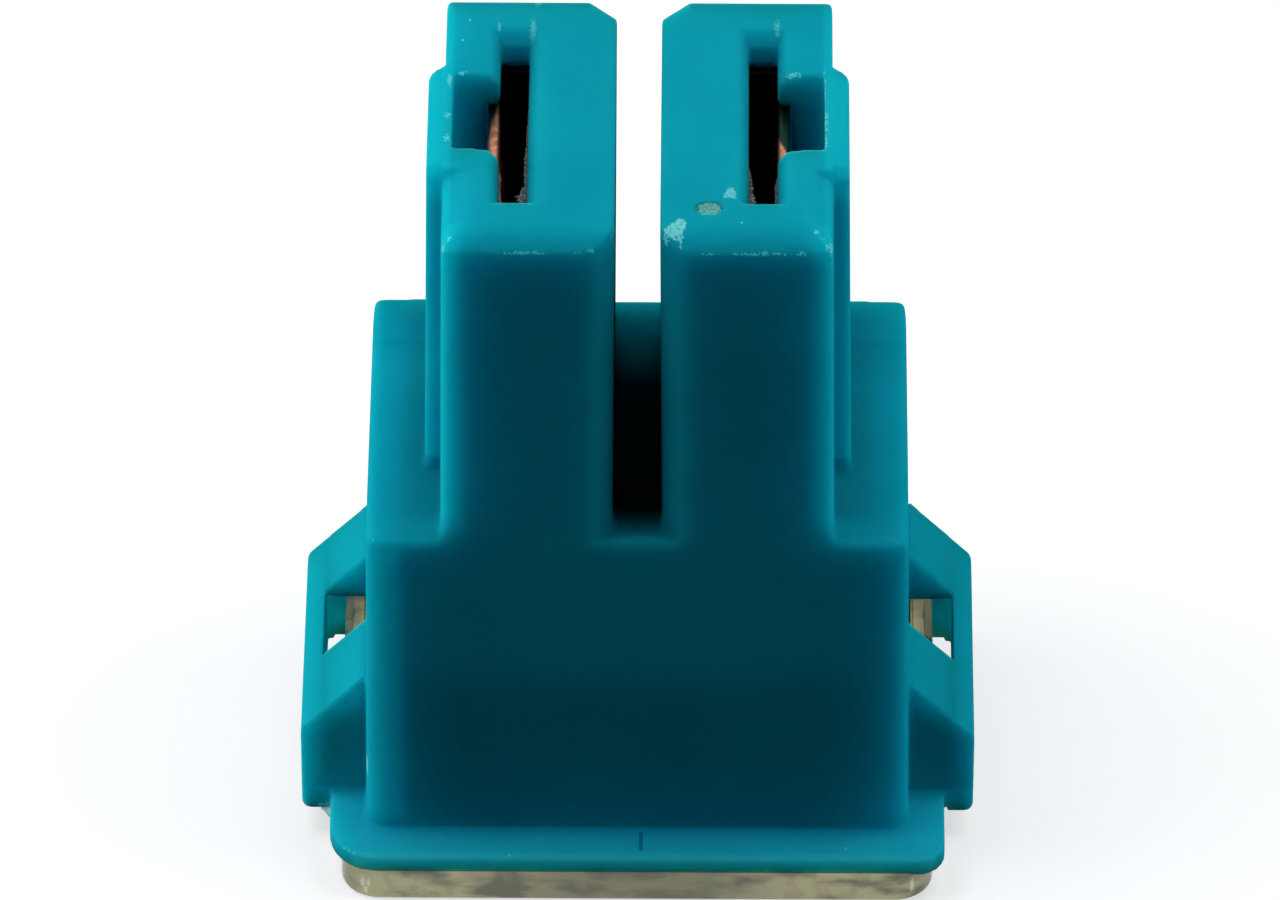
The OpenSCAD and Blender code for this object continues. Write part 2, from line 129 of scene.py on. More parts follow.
# Ragged skins at the slots' rims: the rim's x, the way the skin grows, and pairs of y
# and the skin's width there, in millimetres
SKINS = {
    "skin_left_inner": {"rim": -3.555, "grow": -1, "run": [
        (1.3, 0.02), (0.36, 0.04), (-0.58, 0.06), (-1.69, 0.12), (-2.12, 0.1),
        (-2.54, 0.08), (-2.8, 0.2), (-3.05, 0.34), (-3.4, 0.24), (-4.15, 0.1)]},
    "skin_left_outer": {"rim": -4.495, "grow": 1, "run": [
        (-1.6, 0.02), (-2.3, 0.11), (-2.8, 0.06), (-3.35, 0.12), (-3.7, 0.2), (-4.1, 0.1)]},
    "skin_right_inner": {"rim": 3.555, "grow": 1, "run": [
        (-1.6, 0.02), (-2.15, 0.09), (-2.5, 0.14), (-2.75, 0.11), (-3.05, 0.21),
        (-3.5, 0.2), (-4.15, 0.1)]},
    "skin_right_outer": {"rim": 4.495, "grow": -1, "run": [
        (-2.1, 0.02), (-2.56, 0.1), (-2.9, 0.08), (-3.25, 0.12), (-4.1, 0.05)]},
}
SKIN_SEED = 5
SKIN_STEP = 0.09
SKIN_ROUGH = 0.35
SKIN_ROOT = 0.15
SKIN_Z = 26.25
SKIN_THICK = 0.06

# The film of flash under the left loop and its thicker rim, over x and z, in millimetres
FLASH_Y = -4.42
FLASH_THICK = 0.08
FLASH_RIM_THICK = 0.12
FLASH = [(-10.62, 1.3), (-10.5, 1.16), (-10.24, 0.72), (-10.02, 1.1), (-9.98, 1.62),
         (-10.05, 1.6), (-10.18, 1.42), (-10.4, 1.3)]
FLASH_RIM = [(-10.5, 1.14), (-10.28, 1.27), (-10.12, 1.42), (-10.04, 1.56), (-9.98, 1.62),
             (-10.0, 1.5), (-10.08, 1.36), (-10.24, 1.2)]

# The studio: soft lights low and high on both sides, those in front dimmer
FLOOR_SIZE = 600 * MM
LIGHT_DISTANCE = 200 * MM
LIGHT_SIZE = 80 * MM
SKY = (0.5, 0.82, 1)
LIGHTS = {
    "left_front": {"azimuth": 285, "elevation": 10, "power": 0.082, "colour": SKY},
    "left_low": {"azimuth": 266, "elevation": 8, "power": 0.139},
    "left_high": {"azimuth": 268, "elevation": 70, "power": 0.14},
    "right_front": {"azimuth": 75, "elevation": 10, "power": 0.077, "colour": SKY},
    "right_low": {"azimuth": 94, "elevation": 8, "power": 0.044, "colour": SKY},
    "right_middle": {"azimuth": 92, "elevation": 35, "power": 0.014},
    "right_high": {"azimuth": 92, "elevation": 70, "power": 0.109},
    "back_high": {"azimuth": 180, "elevation": 50, "power": 0.035},
}
# The even light from all round
FILL_STRENGTH = 0.005
# The floor's grey to the light that bounces, and its grey and glow to the camera
FLOOR_DIM = (0.05, 0.05, 0.05, 1)
FLOOR_PALE = (0.6, 0.6, 0.6, 1)
FLOOR_GLOW = 0.62


def link(obj):
    bpy.context.collection.objects.link(obj)
    return obj


def aim(obj, azimuth, elevation, distance):
    """Put a camera or a lamp out there, looking back at the camera's target."""
    out = Vector((math.sin(azimuth) * math.cos(elevation),
                  -math.cos(azimuth) * math.cos(elevation), math.sin(elevation)))
    obj.location = CAMERA_TARGET + distance * out
    obj.rotation_euler = out.to_track_quat("Z", "Y").to_euler()


def make_camera():
    data = bpy.data.cameras.new("camera")
    data.sensor_width = SENSOR_WIDTH
    data.lens = CAMERA_LENS
    data.clip_start = CAMERA_CLIP
    camera = link(bpy.data.objects.new("camera", data))
    aim(camera, CAMERA_AZIMUTH, CAMERA_ELEVATION, CAMERA_DISTANCE)
    bpy.context.scene.camera = camera


# ---------------------------------------------------------------- materials

class Nodes:
    """A material's node tree, with short calls for the nodes used here."""

    def __init__(self, name):
        self.material = bpy.data.materials.new(name)
        self.material.use_nodes = True
        self.tree = self.material.node_tree
        self.shader = self.tree.nodes["Principled BSDF"]
        self.place = self.add("ShaderNodeTexCoord").outputs["Object"]
        self.axes = self.add("ShaderNodeSeparateXYZ", Vector=self.place)

    def add(self, kind, **inputs):
        node = self.tree.nodes.new(kind)
        for name, value in inputs.items():
            self.plug(node, name, value)
        return node

    def plug(self, node, name, value):
        socket = node.inputs[name if isinstance(name, int) else name.replace("_", " ")]
        if isinstance(value, bpy.types.NodeSocket):
            self.tree.links.new(value, socket)
        else:
            socket.default_value = value

    def noise(self, size, detail=2.0, roughness=0.5):
        node = self.add("ShaderNodeTexNoise", Vector=self.place, Scale=1 / size,
                        Detail=detail, Roughness=roughness)
        return node.outputs["Fac"]

    def ramp(self, value, low, high, start=0.0, end=1.0):
        node = self.add("ShaderNodeMapRange", Value=value)
        node.interpolation_type = "SMOOTHSTEP"
        for name, number in (("From Min", low), ("From Max", high),
                             ("To Min", start), ("To Max", end)):
            node.inputs[name].default_value = number
        return node.outputs["Result"]

    def mix(self, factor, first, second):
        node = self.add("ShaderNodeMix")
        node.data_type = "RGBA"
        self.plug(node, 0, factor)
        self.plug(node, 6, first)
        self.plug(node, 7, second)
        return node.outputs[2]

    def paint(self, colour, tint, share, mask):
        """Lay a tint over a colour by a share, where a mask says so."""
        return self.mix(self.math("MULTIPLY", mask, share), colour, tint)

    def bump(self, height, strength, distance, normal=None):
        node = self.add("ShaderNodeBump", Height=height, Strength=strength,
                        Distance=distance)
        if normal is not None:
            self.plug(node, "Normal", normal)
        return node.outputs["Normal"]

    def math(self, kind, first, second):
        node = self.add("ShaderNodeMath")
        node.operation = kind
        self.plug(node, 0, first)
        self.plug(node, 1, second)
        return node.outputs[0]

    def vector(self, kind, first, second):
        node = self.add("ShaderNodeVectorMath")
        node.operation = kind
        self.plug(node, 0, first)
        self.plug(node, 1, second)
        return node.outputs["Vector"]

    def blob(self, centre, size, ragged=0.0, edge=0.25):
        """1 inside an ellipsoid given in millimetres, 0 outside, with a ragged rim."""
        away = self.vector("SUBTRACT", self.place, Vector(centre) * MM)
        away = self.vector("DIVIDE", away, Vector(size) * MM)
        node = self.add("ShaderNodeVectorMath")
        node.operation = "LENGTH"
        self.plug(node, 0, away)
        reach = node.outputs["Value"]
        if ragged:
            rough = self.ramp(self.noise(0.09 * MM, 3), 0.3, 0.7, -ragged, ragged)
            reach = self.math("ADD", reach, rough)
        return self.ramp(reach, 1.0, 1.0 - edge)

    def band(self, axis, low, high, edge):
        """1 between two places on an axis, in millimetres, fading over the edge."""
        place = self.axes.outputs[axis]
        rise = self.ramp(place, (low - edge) * MM, low * MM)
        return self.math("MULTIPLY", rise, self.ramp(place, (high + edge) * MM, high * MM))

    def zone(self, bands):
        """1 where every band (axis, low, high, edge) is 1."""
        return self.all(self.band(*band) for band in bands)

    def patch(self, corners, edge=0.05, ragged=0.04):
        """1 inside a convex outline seen from above, anticlockwise, in millimetres."""
        rough = self.ramp(self.noise(0.12 * MM, 2), 0.3, 0.7, -ragged * MM, ragged * MM)

        def side(first, second):
            along = (Vector(second) - Vector(first)).normalized()
            inward = Vector((-along.y, along.x, 0))
            node = self.add("ShaderNodeVectorMath")
            node.operation = "DOT_PRODUCT"
            self.plug(node, 0, self.place)
            self.plug(node, 1, inward)
            depth = self.math("ADD", node.outputs["Value"], rough)
            start = inward.dot(Vector((*first, 0))) * MM
            return self.ramp(depth, start, start + edge * MM)

        return self.all(side(*ends) for ends in zip(corners, corners[1:] + corners[:1]))

    def most(self, masks):
        """The greatest of several masks, each joined on as soon as it is made."""
        masks = iter(masks)
        total = next(masks)
        for mask in masks:
            total = self.math("MAXIMUM", total, mask)
        return total

    def all(self, masks):
        """The product of several masks, each joined on as soon as it is made."""
        masks = iter(masks)
        total = next(masks)
        for mask in masks:
            total = self.math("MULTIPLY", total, mask)
        return total

    def set(self, **values):
        for name, value in values.items():
            self.plug(self.shader, name, value)


# ---------------------------------------------------------------- teal plastic

TEAL = (0.005, 0.385, 0.5, 1)
TEAL_DEEP = (0.004, 0.345, 0.46, 1)
# Painted light, for lit ends and glowing edges
TEAL_LIT = (0.006, 0.62, 0.76, 1)
# Painted glow on the flange and its front face
FLANGE_GLOW_TEAL = (0.012, 0.51, 0.9, 1)
FLANGE_GLOW_PALE = (0.03, 0.62, 1.0, 1)
# Painted shade, in the notches and elsewhere
NOTCH_SHADE_TEAL = (0.002, 0.13, 0.12, 1)
SHADE = (0.0005, 0.012, 0.02, 1)
PALE = (0.12, 0.75, 0.8, 1)
# Painted highlights and painted light, for glints, the ridge and the window walls
GLEAM = (0.02, 0.85, 0.95, 1)
FROST = (0.2, 0.88, 0.92, 1)
CHIP = (0.22, 0.6, 0.56, 1)
GRIT = (0.09, 0.3, 0.26, 1)
# How far red, green and blue light travels inside the plastic, and by what scale
SCATTER = (0.25, 1.1, 1.18)
SCATTER_SCALE = 4.5 * MM

# Scuffs along the lower edges of the legs' bevels: middle and half sizes in mm
SCUFFS = [
    ((-1.9, -6.15, 26.44), (0.12, 0.08, 0.05)),
    ((-1.47, -6.05, 26.48), (0.09, 0.1, 0.09)),
    ((-3.6, -6.13, 26.44), (0.7, 0.09, 0.06)),
    ((1.67, -6.19, 26.42), (0.1, 0.09, 0.06)),
    ((2.3, -6.15, 26.43), (0.6, 0.06, 0.045)),
    ((3.45, -6.14, 26.44), (0.4, 0.06, 0.05)),
    ((3.75, -6.13, 26.45), (0.16, 0.08, 0.07)),
    ((4.1, -6.11, 26.46), (0.12, 0.11, 0.09)),
    ((4.6, -6.14, 26.45), (0.28, 0.07, 0.06)),
    ((5.25, -6.13, 26.45), (0.13, 0.09, 0.08)),
    ((5.6, -6.19, 26.42), (0.15, 0.09, 0.08)),
]
# Pale edges worn by rubbing on the ribs, the notches and the flange, among them painted
# highlights where the legs' bevel edges catch the light
RUBS_AND_GLINTS = [
    ((-6.12, 2.0, 27), (0.07, 0.3, 0.2)),
    ((-6.16, 0.2, 27), (0.1, 0.14, 0.2)),
    ((-6.15, -0.95, 27), (0.12, 0.17, 0.2)),
    ((-5.9, -1.1, 27), (0.16, 0.08, 0.15)),
    ((-5.68, 2.4, 27), (0.12, 0.06, 0.15)),
    ((-3.3, 6.0, 26.9), (0.12, 0.16, 0.2)),
    ((4.95, 2.4, 27), (0.24, 0.12, 0.2)),
    ((4.55, 1.78, 27), (0.1, 0.1, 0.2)),
    ((5.99, 1.4, 27), (0.05, 1.0, 0.2)),
    ((6.02, -0.1, 27), (0.09, 0.5, 0.2)),
    ((6.03, -1.1, 27), (0.06, 0.4, 0.2)),
    ((5.04, -1.5, 27), (0.1, 0.06, 0.15)),
    ((6.2, -5.95, 26.55), (0.07, 0.4, 0.25)),
    ((5.72, -5.5, 26.82), (0.09, 0.1, 0.1)),
    ((5.88, -5.72, 26.69), (0.09, 0.1, 0.1)),
    ((6.05, -5.92, 26.57), (0.08, 0.12, 0.12)),
    ((-6.0, -5.7, 26.72), (0.06, 0.12, 0.1)),
    ((-6.2, -5.95, 26.55), (0.07, 0.16, 0.2)),
    ((-9.5, -7.3, 1.28), (0.12, 0.16, 0.07)),
    ((-9.2, -7.55, 1.27), (0.16, 0.16, 0.06)),
    ((-8.85, -7.7, 1.27), (0.2, 0.14, 0.05)),
    ((-1.6, -7.75, 1.3), (0.2, 0.12, 0.05)),
    ((4.25, -7.75, 1.42), (0.1, 0.12, 0.12)),
]
# Sharp edges that catch the light
GLINTS = [
    ((-9.7, -7.25, 1.9), (0.1, 0.12, 0.14)),
    ((-9.55, -7.38, 1.9), (0.12, 0.12, 0.12)),
    ((-9.36, -7.5, 1.88), (0.12, 0.12, 0.1)),
    ((-10.37, -4.36, 5.55), (0.1, 0.1, 0.1)),
    ((-10.2, -4.36, 5.7), (0.1, 0.1, 0.1)),
    ((-9.76, -4.36, 6.1), (0.12, 0.1, 0.12)),
    ((-9.6, -4.36, 6.28), (0.12, 0.1, 0.12)),
    ((-9.45, -1.27, 6.45), (0.16, 0.12, 0.16)),
    ((-8.6, -6.1, 14.34), (0.12, 0.12, 0.08)),
    ((8.54, -6.14, 14.34), (0.12, 0.12, 0.08)),
]
# Frosted spots where the moulding came away: the slots' far corners
FROSTED = [
    ((-3.47, 4.75, 26.9), (0.13, 0.5, 0.4)),
    ((-4.55, 4.85, 26.9), (0.07, 0.25, 0.4)),
    ((4.47, 4.9, 26.9), (0.1, 0.4, 0.4)),
    ((3.7, 3.3, 26.9), (0.2, 0.14, 0.6)),
]
# The scuffed inner corner of the right leg's bevel, as two outlines from above
WORN = [
    [(0.82, -5.47), (0.86, -5.65), (1.25, -5.83), (1.46, -5.2), (1.2, -5.14), (0.98, -5.3)],
    [(1.2, -5.7), (1.4, -6.04), (1.5, -5.66), (1.58, -5.26), (1.55, -5.1), (1.33, -4.98),
     (1.2, -5.14)],
]
# A chip at the right slot's front end, as an outline from above
CHIPPED = [(2.7, -3.97), (3.22, -3.97), (3.16, -3.6), (3.04, -3.4), (2.92, -3.4), (2.8, -3.6)]
# Single pale specks of grit
SPECKS = [
    (-5.515, 5.12, 27), (-5.724, 4.075, 27), (2.3, -5.78, 26.65),
    (3.34, -5.2, 26.97), (-3.5, 1.3, 26.8), (-3.45, -0.4, 26.8),
    (4.1, -7.75, 1.3), (6.9, -7.2, 1.95), (-6.5, -7.7, 1.7), (-4.2, -7.6, 1.93),
]
SPECK_SIZE = (0.045, 0.06, 0.06)


def both_sides(*bands):
    """A zone on the right and its mirror image on the left."""
    left = [(axis, -high, -low, edge) if axis == "X" else (axis, low, high, edge)
            for axis, low, high, edge in bands]
    return [left, list(bands)]


# Painted light and shade on the plastic, the later over the earlier: each a colour, its
# share and its zones, which are lists of bands (axis, low, high, fading edge) in millimetres
LIGHT_AND_SHADE_TINTS = [
    # Painted shade at the foot of the body's front
    (SHADE, 0.3, [[("X", -5.5, 5.5, 3), ("Y", -8, -6, 0.3), ("Z", 2.6, 7, 3)]]),
    # Painted shade on the shoulders beside the legs, which block part of the light
    (SHADE, 0.22, both_sides(("X", 6.2, 7.2, 0.9), ("Y", -4.5, 5, 1), ("Z", 14.2, 14.8, 0.15))),
    # Painted shade: the dark floor of the gap between the legs
    (SHADE, 0.97, [[("X", -0.9, 0.9, 0.5), ("Y", -4.4, 20, 1.1), ("Y", -20, 1.4, 3.4),
                    ("Z", 13.8, 18, 6)]]),
    # Painted shade in the notches' depth, where less light comes
    (NOTCH_SHADE_TEAL, 0.8, both_sides(("X", 4.4, 5.9, 0.2), ("Y", -1.5, 1.2, 1.2),
                                 ("Z", 15, 25.6, 1.2))),
    # Painted glow on the flange and its front face, where the plastic glows more
    (FLANGE_GLOW_TEAL, 0.65, [[("Z", 1.2, 2.0, 0.15)]]),
    (FLANGE_GLOW_PALE, 0.8, [[("Y", -9, -7.55, 0.15), ("Z", 1.2, 1.88, 0.1)]]),
    # Painted light on the ribs' ends and the left loop
    (TEAL_LIT, 0.3, both_sides(("X", 6.1, 8, 0.2), ("Z", 26, 28, 0.5))
     + [[("X", -12, -9.3, 0.3), ("Z", 2.2, 10, 0.4)]]),
    # Painted light on the walls seen through the loops' windows
    (GLEAM, 1, both_sides(("X", 9.1, 10.6, 0.1), ("Y", 3.7, 4.4, 0.2), ("Z", 1, 3.6, 0.3))),
    # Painted glow along the legs' outer front edges and the body's left one
    (TEAL_LIT, 0.4, both_sides(("X", 5.95, 6.6, 0.6), ("Y", -6.6, -5.2, 0.3),
                                  ("Z", 15.5, 26.3, 1))
     + [[("X", -8.3, -7.9, 0.5), ("Y", -6.6, -5.2, 0.3), ("Z", 3, 13.5, 1)]]),
]
# The left loop's front face, and where the painted shade below its ridge begins on the scale of
# RIDGE
LOOP_DARK = 14.6
LOOP_FRONT = [("X", -12, -9.05, 0.05), ("Y", -4.6, -4.25, 0.06), ("Z", 2.5, 8, 0.5)]
# The index line, darkened with painted shade in its groove, and the bright dash on the body's
# left edge
TICK_LINE = [("X", 0.08, 0.18, 0.03), ("Y", -7.35, -6.5, 0.06), ("Z", 1.7, 2.3, 0.1)]
DASH = [("X", -9.1, -8.89, 0.02), ("Y", -6.4, -5.3, 0.3), ("Z", 4.0, 4.5, 0.15)]
# The bevels' faces
BEVEL_FACES = [("Z", 26.42, 28, 0.08)]


def paint_loop_front(n, colour):
    """The left loop's front: painted shade just below its sloping top, and a painted highlight
    along its ridge.
    """
    front = n.zone(LOOP_FRONT)
    across = n.math("ABSOLUTE", n.axes.outputs["X"], 0)
    slope = n.math("ADD", n.axes.outputs["Z"], n.math("MULTIPLY", across, SLOPE))
    below = n.math("MULTIPLY", n.ramp(slope, LOOP_DARK * MM, (RIDGE - 0.1) * MM), front)
    below = n.math("MULTIPLY", below, n.ramp(slope, RIDGE * MM, (RIDGE - 0.06) * MM))
    colour = n.paint(colour, SHADE, 0.35, below)
    ridge_highlight = n.math("MULTIPLY", n.ramp(slope, (RIDGE - 0.08) * MM, RIDGE * MM), front)
    broken = n.ramp(n.noise(0.4 * MM, 2), 0.4, 0.6, 0.3, 0.9)
    return n.paint(colour, GLEAM, broken, ridge_highlight)


def paint_wear_and_highlights(n, colour):
    """Painted glints, the dash, the index line's painted shade, worn edges with painted
    highlights among them, specks and worn patches.
    """
    glints = n.most(n.blob(place, size, 0.2, 0.6) for place, size in GLINTS)
    colour = n.paint(colour, GLEAM, 1, glints)
    colour = n.paint(colour, PALE, 1, n.zone(DASH))
    colour = n.paint(colour, SHADE, 0.45, n.zone(TICK_LINE))
    rubs_and_glints = n.most(n.blob(place, size, 0.7, 0.5) for place, size in SCUFFS + RUBS_AND_GLINTS)
    specks = n.most(n.blob(place, SPECK_SIZE) for place in SPECKS)
    colour = n.paint(colour, PALE, 0.85, n.most([rubs_and_glints, specks]))
    worn = n.most(n.all([n.patch(corners), n.zone(BEVEL_FACES)]) for corners in WORN)
    frosted = n.most(n.blob(place, size, 0.5, 0.6) for place, size in FROSTED)
    worn = n.most([worn, n.math("MULTIPLY", frosted, 0.4)])
    worn = n.most([worn, n.math("MULTIPLY", n.patch(CHIPPED), 0.7)])
    cells = n.ramp(n.noise(0.09 * MM, 2), 0.36, 0.46, 0.35, 1.0)
    return n.paint(colour, FROST, cells, worn)


def paint_gate(n, colour):
    """The gate mark's gritty floor, and painted shade round its sunk rim."""
    centre, size = GATE / MM, GATE_R / MM
    grit = n.ramp(n.noise(0.05 * MM, 2), 0.4, 0.6)
    colour = n.paint(colour, n.mix(grit, GRIT, CHIP), 1, n.blob(centre, size, 0.1, 0.15))
    rim = n.math("SUBTRACT", n.blob(centre, size * 1.12, 0.1, 0.1),
                 n.blob(centre, size * 0.92, 0.1, 0.1))
    return n.paint(colour, SHADE, 0.45, rim)


def teal_plastic():
    n = Nodes("teal_plastic")
    colour = n.mix(n.ramp(n.noise(4 * MM, 3), 0.3, 0.7), TEAL, TEAL_DEEP)
    for tint, share, zones in LIGHT_AND_SHADE_TINTS:
        colour = n.paint(colour, tint, share, n.most(n.zone(bands) for bands in zones))
    colour = paint_loop_front(n, colour)
    colour = paint_wear_and_highlights(n, colour)
    colour = paint_gate(n, colour)
    grain = n.noise(0.12 * MM, 2)
    wave = n.noise(1.6 * MM, 1)
    n.set(Base_Color=colour,
          Roughness=n.ramp(grain, 0.2, 0.8, 0.36, 0.5),
          Subsurface_Weight=0.85,
          Subsurface_Radius=SCATTER,
          Subsurface_Scale=SCATTER_SCALE,
          Specular_IOR_Level=0.0,
          Normal=n.bump(grain, 0.15, 0.01 * MM, n.bump(wave, 0.2, 0.05 * MM)))
    return n.material


# ---------------------------------------------------------------- the other materials

KHAKI = (0.265, 0.235, 0.08, 1)
OLIVE = (0.03, 0.032, 0.014, 1)
UMBER = (0.09, 0.07, 0.025, 1)
GLARE = (0.62, 0.6, 0.42, 1)
# Painted highlights: bright bends of light near the cover's two front corners, seen from the
# front
GLARES = [
    ((-9.06, -7.5, 0.65), (0.09, 0.5, 0.3)),
    ((-8.87, -7.5, 0.7), (0.07, 0.5, 0.24)),
    ((-8.96, -7.5, 0.35), (0.1, 0.5, 0.2)),
    ((9.1, -7.4, 0.6), (0.1, 0.5, 0.35)),
]


def clear_amber():
    """Clear smoky plastic with soft streaks, darker in its middle and at its two ends, with
    painted bends of light near its front corners.
    """
    n = Nodes("clear_amber")
    streak = n.add("ShaderNodeTexNoise", Scale=1 / (1.5 * MM), Detail=3.0,
                   Vector=n.vector("MULTIPLY", n.place, (0.6, 1, 1.5))).outputs["Fac"]
    reach = n.math("ABSOLUTE", n.axes.outputs["X"], 0)
    ends = n.ramp(reach, 9.0 * MM, 9.6 * MM)
    middle = n.ramp(reach, 6 * MM, 2 * MM)
    brown = n.ramp(n.noise(0.7 * MM, 2), 0.5, 0.65)
    glare = n.most(n.blob(place, size, 0.2, 0.7) for place, size in GLARES)
    colour = n.mix(n.ramp(streak, 0.4, 0.58), OLIVE, KHAKI)
    colour = n.paint(colour, OLIVE, 0.78, middle)
    colour = n.paint(colour, UMBER, 0.5, brown)
    colour = n.paint(colour, OLIVE, 0.6, ends)
    colour = n.paint(colour, GLARE, 0.7, glare)
    n.set(Base_Color=colour, Roughness=0.12, Transmission_Weight=0.85, IOR=1.45,
          Normal=n.bump(n.noise(0.8 * MM, 3), 0.2, 0.05 * MM))
    return n.material


COPPER = (0.42, 0.18, 0.11, 1)
COPPER_DULL = (0.2, 0.09, 0.06, 1)
WALL_REFLECTION = (0.01, 0.03, 0.02, 1)
JAW_SHADE = (0.002, 0.002, 0.002, 1)
# The terminals' jaws, painted black as shade down in the slots, and their part that shows in
# the notches, left unshaded
JAWS = [("Z", 19, 27, 3)]
NOTCH_SIGHT = [("Y", -0.6, 1.4, 1.4), ("Z", 20, 26, 1)]
# Outside a slanted line on each side, a painted reflection of the dark wall beside it
MIRROR_FADE = 0.12
MIRRORED_WALLS = [
    {"side": -1, "slant": 0.15, "start": 4.93},
    {"side": 1, "slant": 0.34, "start": 4.78},
]


def copper_alloy():
    n = Nodes("copper_alloy")
    tone = n.ramp(n.noise(0.35 * MM, 3), 0.35, 0.65)
    metal = n.mix(tone, COPPER, COPPER_DULL)
    lit = n.zone(NOTCH_SIGHT)
    for reflection in MIRRORED_WALLS:
        reach = n.math("ADD", n.math("MULTIPLY", n.axes.outputs["X"], reflection["side"]),
                       n.math("MULTIPLY", n.axes.outputs["Y"], reflection["slant"]))
        start = reflection["start"] * MM
        metal = n.mix(n.ramp(reach, start, start + MIRROR_FADE * MM), metal, WALL_REFLECTION)
    colour = n.mix(n.zone(JAWS), metal, n.mix(lit, JAW_SHADE, metal))
    n.set(Base_Color=colour, Metallic=1.0, Roughness=n.ramp(tone, 0, 1, 0.4, 0.55))
    return n.material


TIN = (0.6, 0.6, 0.62, 1)
TIN_DULL = (0.4, 0.4, 0.42, 1)


def tin():
    n = Nodes("tin")
    tone = n.ramp(n.noise(0.5 * MM, 3), 0.3, 0.7)
    n.set(Base_Color=n.mix(tone, TIN, TIN_DULL), Metallic=1.0,
          Roughness=n.ramp(tone, 0, 1, 0.35, 0.55))
    return n.material


TORN_DARK = (0.02, 0.028, 0.026, 1)
TORN_PALE = (0.16, 0.21, 0.2, 1)
FILM_TEAL = (0.35, 0.66, 0.7, 1)
FILM_PALE = (0.6, 0.85, 0.87, 1)


def torn_skin():
    """The grey ragged skin left along the slots' rims."""
    n = Nodes("torn_skin")
    spots = n.ramp(n.noise(0.07 * MM, 2), 0.5, 0.62)
    n.set(Base_Color=n.mix(spots, TORN_DARK, TORN_PALE), Roughness=0.6,
          Specular_IOR_Level=0.2)
    return n.material


def thin_flash():
    """The whitish film left where two halves of the mould met."""
    n = Nodes("thin_flash")
    cloud = n.ramp(n.noise(0.15 * MM, 2), 0.4, 0.6)
    n.set(Base_Color=n.mix(cloud, FILM_TEAL, FILM_PALE), Roughness=0.3,
          Transmission_Weight=0.8, IOR=1.05, Specular_IOR_Level=0.0)
    return n.material


def dress(obj, material):
    obj.data.materials.clear()
    obj.data.materials.append(material)


# ---------------------------------------------------------------- the four pieces

def welded_copy(node, name):
    """The CAD node's mesh as a new object, with its doubled corners joined."""
    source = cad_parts[node]
    mesh = bmesh.new()
    mesh.from_mesh(source.data)
    mesh.transform(source.matrix_world)
    bmesh.ops.remove_doubles(mesh, verts=mesh.verts, dist=WELD)
    data = bpy.data.meshes.new(name)
    mesh.to_mesh(data)
    mesh.free()
    return link(bpy.data.objects.new(name, data))


def apply_modifiers(obj):
    """Keep the result of an object's modifiers as its mesh."""
    graph = bpy.context.evaluated_depsgraph_get()
    data = bpy.data.meshes.new_from_object(obj.evaluated_get(graph))
    obj.modifiers.clear()
    obj.data = data


def corners_of(obj):
    """The places of a mesh's corners, as rows of x, y and z."""
    places = numpy.empty(3 * len(obj.data.vertices))
    obj.data.vertices.foreach_get("co", places)
    return places.reshape(-1, 3)


def move_corners(obj, places):
    obj.data.vertices.foreach_set("co", places.ravel())
    obj.data.update()


def fade_in(values, start, length):
    """0 up to a start, growing to 1 over a length."""
    return numpy.clip((values - start) / length, 0, 1)


def group(obj, name, share):
    """A vertex group that holds each corner by its share, from 0 to 1, in ten steps."""
    made = obj.vertex_groups.new(name=name)
    levels = numpy.rint(10 * share.astype(float))
    for level in range(1, 11):
        made.add(numpy.flatnonzero(levels == level).tolist(), level / 10, "REPLACE")
    return made.name


def smooth(obj, steps, name="smooth", where=""):
    made = obj.modifiers.new(name, "SMOOTH")
    made.factor = 0.5
    made.iterations = steps
    made.vertex_group = where


def remesh(obj):
    """An even, fine mesh with every edge rounded a little, as a moulding's are."""
    made = obj.modifiers.new("remesh", "REMESH")
    made.mode = "VOXEL"
    made.voxel_size = VOXEL
    smooth(obj, SOFTEN_STEPS)
    apply_modifiers(obj)


def thin(obj, triangles):
    made = obj.modifiers.new("thin", "DECIMATE")
    made.ratio = min(1.0, triangles / (2 * len(obj.data.polygons)))
    apply_modifiers(obj)
    obj.data.shade_smooth()


def melt_lead_ins(obj):
    """Roll the slots' funnels and the tops of the bevels over softly."""
    x, y, z = corners_of(obj).T
    dx = numpy.abs(numpy.abs(x) - SLOT_X) - SLOT_HALF_W
    dy = numpy.abs(y - SLOT_Y) - SLOT_HALF_L
    reach = numpy.maximum(dx, dy)
    funnel = (reach < FUNNEL_REACH) & (reach > FUNNEL_START)
    bevel = numpy.abs(y - BEVEL_Y) < BEVEL_HALF
    high = z > TIP_Z - LEAD_IN_DEPTH
    smooth(obj, MELT_STEPS, "melt", group(obj, "melt", high & (funnel | bevel)))
    apply_modifiers(obj)


def drop_feet(obj):
    """The loops' feet hang a little below the flange, out past its edge."""
    places = corners_of(obj)
    x, y, z = places.T
    x = numpy.abs(x)
    foot = (x > FOOT_X) & (z < FOOT_Z)
    low = z[foot].min() - FOOT_DROP
    z[foot] -= FOOT_DROP
    out = numpy.clip((x - x.max()) / FOOT_R + 1, 0, 1)
    round_low = low + FOOT_R * (1 - numpy.sqrt(1 - out ** 2))
    z[foot] = numpy.maximum(z, round_low)[foot]
    move_corners(obj, places)


def lift_loops(obj):
    """Bring back up what the softening took off the loops' sloping tops and the shoulder."""
    places = corners_of(obj)
    side, y, z = places.T / MM
    x = numpy.abs(side)
    share = fade_in(z + SLOPE * x - RIDGE, *RIDGE_FADE) * fade_in(x, *ROOT_FADE)
    lift = numpy.where(side < 0, LOOP_LIFT, RIGHT_LIFT * fade_in(y, *BACK_FADE))
    places[:, 2] += lift * share
    behind = fade_in(z, *SHOULDER_Z_FADE) * (z < SHOULDER_TOP) * (y > SHOULDER_BACK)
    places[:, 2] += SHOULDER_LIFT * behind * fade_in(x, *SHOULDER_X_FADE)
    move_corners(obj, places)


